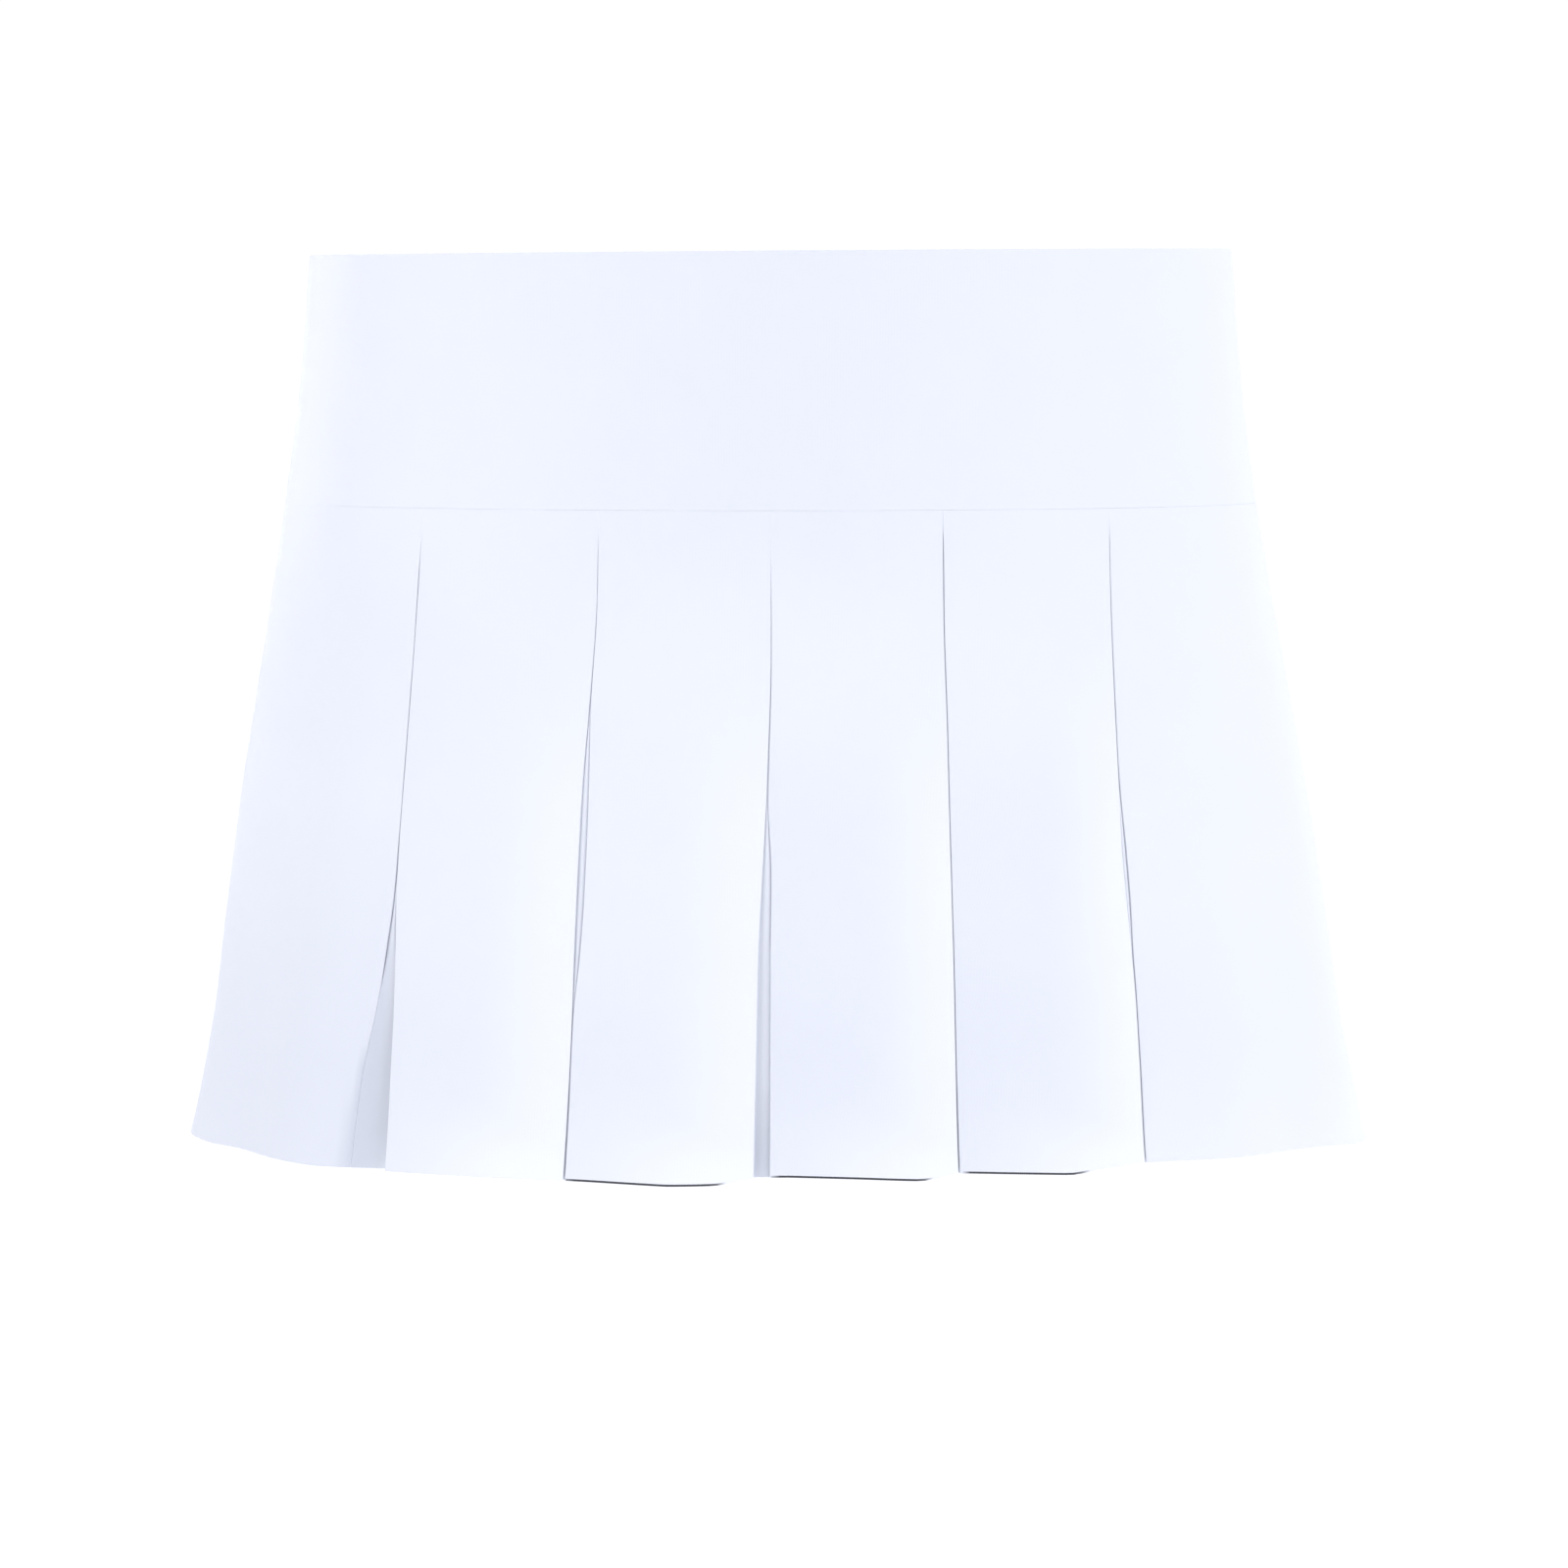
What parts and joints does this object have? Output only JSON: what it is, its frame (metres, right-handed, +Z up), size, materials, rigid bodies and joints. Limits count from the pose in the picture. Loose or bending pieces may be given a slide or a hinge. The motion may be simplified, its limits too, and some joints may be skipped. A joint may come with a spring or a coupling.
{
  "type": "tennis skirt",
  "caption": "Flared short tennis skirt with a smooth fitted yoke and pressed inverted box pleats, filled out as worn, hollow and open at waist and hem.",
  "frame": {"origin": "centre of the waist opening, level with the rim of the waist, where the wearer holds the skirt up", "axes": "+Z up, out of the waist opening; the front faces -Y; +X to the right of someone who faces the front, along the skirt's width"},
  "size_m": [0.419, 0.2615, 0.3207],
  "materials": {
    "yoke_cloth": "smooth matt white sports cloth",
    "pleated_cloth": "matt white sports cloth, pressed into pleats"
  },
  "bodies": {
    "root": {"yoke_front": "yoke_cloth", "yoke_back": "yoke_cloth", "skirt_front": "pleated_cloth", "skirt_back": "pleated_cloth"}
  },
  "joints": []
}
